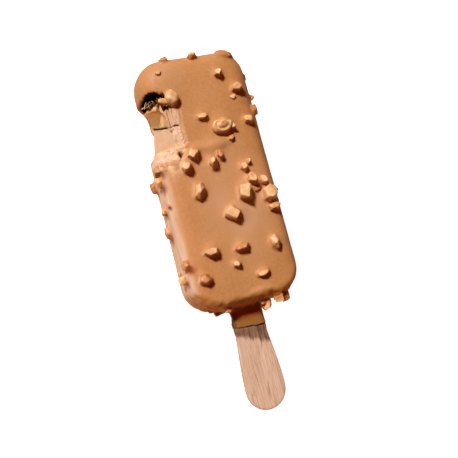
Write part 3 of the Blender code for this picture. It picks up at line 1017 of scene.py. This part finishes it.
def bittenWall(y, z):
    # x of the two tooth marks at a given height: each a nearly flat facet, meeting at the crack
    past = y - acrossBite("ledge", z)
    wall = acrossBite("wall", z)
    if past > 0:
        overhang = bite["ledgeOverhang"] * (1 - 0.3 * ease(past, 0.0, 0.5))
        return wall - overhang + acrossBite("upperSlope", z) * past
    return wall + acrossBite("lowerSlope", z) * past


def inCave(point, torn):
    # the pocket under the overhanging lip, painted black as shade, with a ragged edge
    x, y, z = bite["caveCentre"]
    halfX, halfY, halfZ = bite["caveSize"]
    away = ((point.x - x) / halfX) ** 4 + ((point.y - y) / halfY) ** 4 + ((point.z - z) / halfZ) ** 2
    return 1 - ease(away + 0.45 * torn, 1.05, 1.45)


def inPocket(point):
    # the cave and the ground below it, painted dark as shade, down to a torn edge with one spike
    torn = wobble(point.x / 0.55, point.y / 4.0, point.z / 1.1)
    spike = bite["spikeLength"] * bell(point.x - bite["spikeX"], 0.50) * ease(point.z, 14, 18)
    edge = acrossBite("pocket", point.z)
    share = ease(point.y + bite["pocketTorn"] * torn + spike, edge - 0.5, edge + 0.3)
    return max(share * ease(-point.x, 12.5, 14.0), inCave(point, torn))


def atHole(point, size):
    x, y = bite["hole"]
    dx = point.x - x + 0.2 * (point.y - y)
    dy = point.y - y
    return math.exp(-((dx / size[0]) ** 2 + (dy / size[1]) ** 2) ** 1.5)


def biteShares(point, normal):
    # what a place in the bite belongs to, each from 0 to 1: its shape and its colours both follow this
    here = SimpleNamespace()
    here.streak = wobble(point.x / 0.36, point.y / 5.0, 0)
    here.crumb = noise.noise(point / 0.55) + 0.5 * noise.noise(point / 0.28)
    here.pocket = inPocket(point)
    here.sideways = ease(-normal.x, 0.25, 0.6) * ease(point.x, -20.4, -19.4)
    here.upward = ease(normal.z, 0.35, 0.8) * ease(point.z, 16, 20)
    here.facet = here.sideways * ease(point.y, 33.0, 36.5) * (1 - here.pocket)
    # past the crack lies the upper tooth mark; the crack is deeper in some places than in others
    past = point.y - acrossBite("ledge", point.z)
    past += bite["ledgeWaviness"] * wobble(point.x / 1.8, 0, point.z / 2.4)
    here.upper = ease(past, -0.3, 0.3)
    patch = clamp(0.55 + 1.2 * wobble(4.0, 0, point.z / 3.2))
    here.crack = bell(past + 0.30, bite["crackWidth"] * (0.7 + 0.6 * patch)) * here.facet
    here.shelfCrack = bell(past + 0.1, 0.30) * here.upward * (0.35 + 0.65 * ease(point.x, -14.2, -13.4))
    here.shelfCrack *= 1 - ease(point.x, -12.4, -11.8)
    # the lower lip, with the small dark hole beside it and the ridge above that
    here.lip = 1 - ease(point.y, 36.0, 38.5)
    here.hole = atHole(point, bite["holeSize"]) * here.upward
    here.holeRim = atHole(point, bite["holeRimSize"]) * here.upward
    ridgeX, ridgeY = bite["ridge"]
    here.ridge = bell(point.x - ridgeX, 1.8) * bell(point.y - ridgeY, 0.5) * here.upward
    return here


def bittenPlace(point, normal, here):
    # where a point of the ice cream ends up, in mm
    place = Vector(point)
    place.x = blend(point.x, bittenWall(point.y, point.z), here.facet)
    place.x += bite["crackDepth"] * here.crack
    # the shelf under the broken coating
    rimX = bite["rimX"]
    nearRim = ease(point.x, bite["wallOnFace"] - 0.5, rimX - 0.4)
    toCoating = 1 - ease(point.y, 30.3, 34.0)
    lift = bite["flush"] * max(0.15 + 0.85 * nearRim, toCoating)
    lift += blend(0.22 * here.crumb * (0.4 + 0.6 * nearRim), 0.26 * here.streak, here.upper)
    most = blend(
        bite["mostFlush"], bite["underCoating"], ease(point.x, rimX + 0.5, rimX + 1.0))
    place.z += here.upward * min(lift, most) * (1 - here.pocket)
    place.z += bite["ridgeHeight"] * here.ridge
    place.z -= bite["holeDepth"] * here.hole + bite["shelfCrackDepth"] * here.shelfCrack
    # the lower lip is filled out to the coating's face, and the pocket sinks in
    outer = ease(-point.x, 19.0, 20.5) * ease(-normal.x, 0.2, 0.7)
    outer = max(outer, 0.2 * here.upward * ease(-point.x, 14.0, 16.0))
    fill = bite["lipFill"] * (1 - ease(point.y, 31.0, 38.0)) * outer
    sunk = bite["pocketDepth"] * ease(here.pocket, 0.3, 1.0)
    return place + normal * (fill * (1 + 0.10 * here.crumb) + bite["grow"] + 0.06 * here.crumb - sunk)


def biteWeights(point, here):
    # how strongly each colour of the ice cream shows
    notPocket = 1 - here.pocket
    shreds = ease(wobble(point.x / 0.8, point.y / 1.6, point.z / 1.1), 0.10, 0.35)
    mottle = 0.5 + 0.8 * noise.noise(point / 1.8)
    section = here.sideways * here.upper * (1 - ease(point.z, 1.5, 3.5))
    shelfFrost = here.upward * (0.10 * here.streak + (0.30 + 0.60 * here.crumb) * (1 - here.upper))
    lipFrost = here.lip * mottle * ease(point.y, 28.5, 31.0)
    foldLine = acrossBite("fold", point.z) - bite["foldBend"] * (point.x + 16.0) ** 2
    fold = bell(point.y - foldLine, 0.9) * (0.6 + 0.5 * mottle) * ease(point.x, -21.0, -18.5)
    yellow = here.upper * max(here.sideways, ease(-point.x, 16.5, 17.5)) * (1 - section)
    # the part of the upper mark that the sun reaches is toned down to the rest
    sunLine = point.y + (barTopZ - point.z) * sunFrom.y / sunFrom.z
    tanned = here.sideways * here.upper * (1 - ease(sunLine, *bite["sunlitTo"]))
    edge = acrossBite("pocket", point.z)
    tornTop = ease(point.y, edge - 2.6, edge - 1.4) * (1 - ease(point.z, 21.0, 22.5)) * here.upper
    lowerSkin = (1 - ease(point.y, 29.0, 32.5)) * (0.45 + 0.5 * mottle)
    rimSkin = here.upward * ease(point.x, bite["rimX"] - 1.2, bite["rimX"])
    combed = here.upward * blend(0.25, 0.95, here.upper) * (1 - here.lip)
    return {
        "frost": clamp(shelfFrost + 0.75 * lipFrost + 0.6 * section) * notPocket,
        "ochre": 0.95 * yellow + 0.45 * fold + 0.5 * here.ridge,
        # chocolate rubbed over the ice cream, and painted shade where the sun reaches the upper mark and
        # round the hole
        "chocolateAndShade": 0.30 * tornTop + lowerSkin + 0.5 * rimSkin + 0.62 * tanned + here.holeRim + 0.45 * fold,
        # painted black shade in the pocket, the cracks and the hole
        "hollow": (here.pocket * (1.15 - 0.45 * shreds)
                   + 0.9 * here.crack + 0.8 * here.shelfCrack + 0.85 * here.hole),
        "combed": combed * notPocket,
    }


# pale threads left hanging in the pocket: start, end and thickness, in mm
paleStrands = [
    ((-22.0, 55.2, 14.8), (-17.6, 56.4, 18.0), 0.17),
    ((-20.6, 56.6, 17.0), (-19.6, 53.0, 16.8), 0.15),
    ((-19.0, 57.0, 18.8), (-17.2, 53.2, 19.2), 0.17),
    ((-17.6, 57.4, 20.4), (-16.6, 53.4, 20.0), 0.15),
    ((-22.6, 55.8, 14.0), (-19.6, 57.2, 17.5), 0.15),
    ((-22.4, 55.4, 16.0), (-20.4, 58.0, 16.5), 0.13),
    ((-16.2, 57.0, 21.4), (-15.4, 53.6, 21.0), 0.16),
]

thread = {
    "taper": 0.6,
    "sway": 0.45,
    "swaySize": 1.1,
    "frost": 0.35,
}


def addStrands(bm):
    for index, (start, end, thickness) in enumerate(paleStrands):
        start = Vector(start)
        span = Vector(end) - start
        strand = bmesh.new()
        bmesh.ops.create_cone(
            strand, cap_ends=True, segments=8, radius1=thickness, radius2=thickness * thread["taper"],
            depth=span.length)
        lengthwise = [edge for edge in strand.edges if abs(edge.verts[0].co.z - edge.verts[1].co.z) > 0.1]
        bmesh.ops.subdivide_edges(strand, edges=lengthwise, cuts=9)
        bmesh.ops.rotate(strand, verts=strand.verts, matrix=span.to_track_quat("Z", "Y").to_matrix())
        bmesh.ops.translate(strand, verts=strand.verts, vec=start + span / 2)
        layer = strand.verts.layers.float.new("frost")
        for vert in strand.verts:
            vert[layer] = thread["frost"]
            spot = vert.co / thread["swaySize"] + Vector((index, 0, 0))
            sway = Vector([noise.noise(spot + Vector((0, 0, 20 * axis))) for axis in range(3)])
            vert.co += thread["sway"] * sway
        bmesh.ops.scale(strand, verts=strand.verts, vec=(mm, mm, mm))
        addMesh(bm, strand)


def refined(bm, test):
    edges = [edge for edge in bm.edges if all(test(vert.co / mm) for vert in edge.verts)]
    bmesh.ops.subdivide_edges(bm, edges=edges, cuts=1, use_grid_fill=True)


def makeCream():
    bm = remeshed(mergedCopy("ice_cream"), bite["voxel"])
    smoothed(bm, 2)
    bm = thinned(bm, lambda point: not inBite(point), bite["keep"])
    refined(bm, inBite)
    refined(bm, onShelf)
    bm.normal_update()
    layers = floatLayers(bm, "frost", "ochre", "chocolateAndShade", "hollow", "combed")
    for vert in bm.verts:
        point = vert.co / mm
        if inBite(point):
            here = biteShares(point, vert.normal)
            vert.co = bittenPlace(point, vert.normal, here) * mm
            setWeights(vert, layers, biteWeights(point, here))
    addStrands(bm)
    print("cream triangles:", countTriangles(bm))
    newPiece("cream_core", bm, creamMaterial, ("ice_cream",))


makeCream()
print("ice cream made")


stickShape = {
    "voxel": 0.33,
    "grain": 0.04,
    "seamFill": 0.34,     # the blade is a little thicker under the collar's lower edge
    "seamLength": 2.6,
    "dampLeft": -42.5,    # where the damp wood ends, in mm
    "dampRight": -47.5,
    "split": (2.2, 4.4),  # x of two dark splits in the damp part
    "splitWidth": 0.28,
    "splitFrom": (-49.0, -46.0),
    "sideShade": 0.30,
}


def makeStick():
    bm = remeshed(mergedCopy("stick"), stickShape["voxel"])
    smoothed(bm, 3)
    bm.normal_update()
    layers = floatLayers(bm, "dampAndShade")
    for vert in bm.verts:
        point = vert.co / mm
        grain = wobble(point.x / 0.8, point.y / 14, point.z)
        collarEnd = acrossStick(shell["collarEndLeft"], shell["collarEndRight"], point.x)
        seam = ease(point.y, collarEnd - stickShape["seamLength"], collarEnd)
        vert.co += vert.normal * (stickShape["grain"] * grain + stickShape["seamFill"] * seam) * mm
        edge = acrossStick(stickShape["dampLeft"], stickShape["dampRight"], point.x)
        wet = ease(point.y + 1.6 * grain, edge - 1.0, edge + 1.2)
        wet *= 0.82 + 0.30 * wobble(point.x / 0.5, point.y / 5, 0)
        lines = max(bell(point.x - x + 0.3 * grain, stickShape["splitWidth"]) for x in stickShape["split"])
        lines *= ease(point.y, *stickShape["splitFrom"])
        # painted shade: the blade's narrow sides are darkened
        rimmed = stickShape["sideShade"] * ease(-abs(vert.normal.z), -0.8, -0.3)
        setWeights(vert, layers, {"dampAndShade": wet + 0.6 * lines + rimmed})
    print("stick triangles:", countTriangles(bm))
    newPiece("stick_blade", bm, woodMaterial, ("stick",))


makeStick()
print("stick made")


cameraSpec = {
    "aim": (1.2, 0.8, 12.0),
    "towards": (-0.3238, -0.0859, 0.9422),
    "distance": 300.0,
    "roll": -14.56,
    "fieldOfView": 34.76,
}


def makeCamera():
    data = bpy.data.cameras.new("camera")
    data.sensor_width = 36.0
    data.angle = math.radians(cameraSpec["fieldOfView"])
    data.clip_start = 0.01
    camera = bpy.data.objects.new("camera", data)
    bpy.context.scene.collection.objects.link(camera)
    back = Vector(cameraSpec["towards"]).normalized()
    right = Vector((0, 1, 0)).cross(back).normalized()
    right = Matrix.Rotation(math.radians(cameraSpec["roll"]), 3, back) @ right
    axes = Matrix((right, back.cross(right), back)).transposed().to_4x4()
    place = (Vector(cameraSpec["aim"]) + back * cameraSpec["distance"]) * mm
    camera.matrix_world = Matrix.Translation(place) @ axes
    bpy.context.scene.camera = camera


lightSpec = {
    "sunStrength": 4.1,
    "sunAngle": 9.0,
    "sunColour": (1.0, 0.985, 0.96),
    "fill": (0.140, 0.034, 0.009),  # warm and weak, from above
    "horizon": (0.06, -0.12),       # the low lights start below this, so shadows on the face stay dark
    "backdrop": (1.0, 1.0, 1.0),
    "floorGlow": 1.0,
}

# soft light from below the horizon: colour, where it comes from, and its outer and inner reach
lowLights = [
    ((0.420, 0.370, 0.320), (0.25, 0.75, -0.60), 0.25, 0.95),   # on the far and right walls
    ((1.500, 0.720, 0.260), (0.05, -0.75, -0.66), 0.15, 0.90),  # warm, at the stick's end
    ((0.730, 0.690, 0.640), (-0.92, 0.34, -0.20), 0.10, 0.88),  # a white card on the bitten side
]


def makeSun():
    data = bpy.data.lights.new("key", "SUN")
    data.energy = lightSpec["sunStrength"]
    data.angle = math.radians(lightSpec["sunAngle"])
    data.color = lightSpec["sunColour"]
    key = bpy.data.objects.new("key", data)
    key.rotation_euler = sunFrom.to_track_quat("Z", "Y").to_euler()
    bpy.context.scene.collection.objects.link(key)


def makeStudio():
    world = bpy.data.worlds.new("studio")
    world.use_nodes = True
    nodes = world.node_tree.nodes
    links = world.node_tree.links
    graph = SimpleNamespace(nodes=nodes, links=links)
    direction = nodes.new("ShaderNodeTexCoord").outputs["Generated"]
    height = nodes.new("ShaderNodeSeparateXYZ")
    links.new(direction, height.inputs["Vector"])
    under = nodes.new("ShaderNodeMapRange")
    under.inputs["From Min"].default_value, under.inputs["From Max"].default_value = lightSpec["horizon"]
    links.new(height.outputs["Z"], under.inputs["Value"])
    colour = lightSpec["fill"]
    for lowColour, comesFrom, outer, inner in lowLights:
        facing = nodes.new("ShaderNodeVectorMath")
        facing.operation = "DOT_PRODUCT"
        facing.inputs[1].default_value = Vector(comesFrom).normalized()
        links.new(direction, facing.inputs[0])
        fade = nodes.new("ShaderNodeMapRange")
        fade.interpolation_type = "SMOOTHSTEP"
        fade.inputs["From Min"].default_value = outer
        fade.inputs["From Max"].default_value = inner
        links.new(facing.outputs["Value"], fade.inputs["Value"])
        low = nodes.new("ShaderNodeMath")
        low.operation = "MULTIPLY"
        links.new(fade.outputs["Result"], low.inputs[0])
        links.new(under.outputs["Result"], low.inputs[1])
        colour = mixNode(graph, low.outputs["Value"], colour, lowColour)
    seen = nodes.new("ShaderNodeLightPath").outputs["Is Camera Ray"]  # the backdrop itself is plain white
    colour = mixNode(graph, seen, colour, lightSpec["backdrop"])
    links.new(colour, nodes["Background"].inputs["Color"])
    nodes["Background"].inputs["Strength"].default_value = 1.0
    bpy.context.scene.world = world


floorFinish = {
    "Base Color": (0.92, 0.92, 0.92, 1.0),
    "Roughness": 0.9,
    "Specular IOR Level": 0.1,
    "Emission Color": (1.0, 1.0, 1.0, 1.0),
    "Emission Strength": lightSpec["floorGlow"],
}


def makeFloor():
    bm = bmesh.new()
    bmesh.ops.create_grid(bm, x_segments=1, y_segments=1, size=12.0)
    mesh = bpy.data.meshes.new("floor")
    bm.to_mesh(mesh)
    bm.free()
    mesh.materials.append(startMaterial("floor", floorFinish).material)
    floor = bpy.data.objects.new("floor", mesh)
    bpy.context.scene.collection.objects.link(floor)
    floor.visible_diffuse = False
    floor.visible_glossy = False


makeCamera()
makeSun()
makeStudio()
makeFloor()
bpy.context.scene.view_settings.view_transform = "Standard"
bpy.context.scene.view_settings.look = "None"
print("camera, light and floor made")
